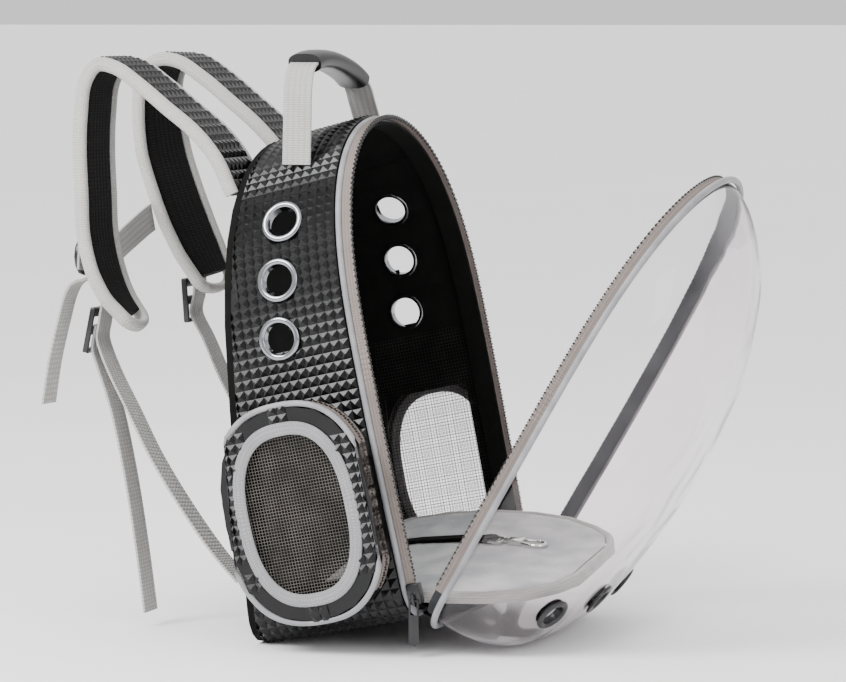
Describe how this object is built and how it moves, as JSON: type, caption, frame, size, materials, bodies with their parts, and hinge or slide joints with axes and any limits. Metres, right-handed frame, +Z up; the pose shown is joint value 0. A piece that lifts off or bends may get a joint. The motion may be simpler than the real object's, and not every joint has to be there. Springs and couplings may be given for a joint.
{
  "type": "pet carrier backpack",
  "caption": "Pet carrier backpack with an arched studded shell, mesh side pockets and a clear domed door that stands open on its hinge.",
  "frame": {"origin": "under the middle of the bounding box, on the surface the carrier stands on", "axes": "+Z up, -Y towards the open dome, +Y towards the shoulder straps, +X towards the right side of the open front seen from inside the cabin"},
  "size_m": [0.364, 0.6048, 0.4983],
  "materials": {
    "leatherette": "glossy embossed synthetic leather",
    "lining": "matt black woven cloth",
    "mesh": "open black net",
    "webbing": "ribbed grey webbing",
    "piping": "grey corded piping",
    "zip_tape": "woven zip tape with moulded teeth",
    "window_binding": "grey felted tape",
    "dome_binding": "charcoal felt",
    "clear_shell": "clear moulded plastic",
    "steel": "polished plated metal",
    "black_plastic": "smooth moulded plastic",
    "fleece": "mottled short fleece"
  },
  "bodies": {
    "carrier": {"back_panel": "lining", "base_panel": "lining", "top_panel": "leatherette", "side_panel_left": "leatherette", "side_panel_right": "leatherette", "rim_piping": "piping", "dome_piping": "piping", "rim_zip_tape": "zip_tape", "dome_zip_tape": "zip_tape", "rim_binding": "lining", "hinge_strip": "lining", "side_mesh_left": "mesh", "pocket_window_left": "mesh", "grommet_left_1": "steel", "grommet_left_2": "steel", "grommet_left_3": "steel", "pocket_gusset_left": "leatherette", "pocket_face_left": "leatherette", "pocket_piping_left": "piping", "pocket_zip_left": "zip_tape", "pocket_binding_left": "window_binding", "pocket_pull_left": "black_plastic", "ladder_lock_left": "black_plastic", "strap_left": "leatherette", "strap_binding_left": "webbing", "webbing_left": "webbing", "side_mesh_right": "mesh", "pocket_window_right": "mesh", "grommet_right_1": "steel", "grommet_right_2": "steel", "grommet_right_3": "steel", "pocket_gusset_right": "leatherette", "pocket_face_right": "leatherette", "pocket_piping_right": "piping", "pocket_zip_right": "zip_tape", "pocket_binding_right": "window_binding", "pocket_pull_right": "black_plastic", "ladder_lock_right": "black_plastic", "strap_right": "leatherette", "strap_binding_right": "webbing", "webbing_right": "webbing", "dome": "clear_shell", "dome_binding": "dome_binding", "dome_vent_1": "black_plastic", "dome_vent_2": "black_plastic", "dome_vent_3": "black_plastic", "main_slider": "black_plastic", "sternum_slider": "black_plastic", "handle_webbing": "webbing", "tail_left": "webbing", "tail_upper": "webbing", "sternum_webbing": "webbing", "mat_binding": "webbing", "handle_grip": "leatherette", "mat": "fleece", "tether_webbing": "lining", "snap_hook": "steel"},
    "pull": {"main_pull": "black_plastic"},
    "gate": {"hook_gate": "steel"}
  },
  "joints": [
    {"name": "pull_swing", "type": "hinge", "parent": "carrier", "child": "pull", "pos_m": [-0.1474, -0.0663, 0.04709], "axis": [0, 1, 0], "range_deg": [-12, 160]},
    {"name": "gate_hinge", "type": "hinge", "parent": "carrier", "child": "gate", "pos_m": [0.03157, -0.10037, 0.07515], "axis": [0.1316, 0.048, -0.9901], "range_deg": [0, 24], "stiffness_Nm_per_rad": 0.004, "springref_deg": -20.05}
  ]
}
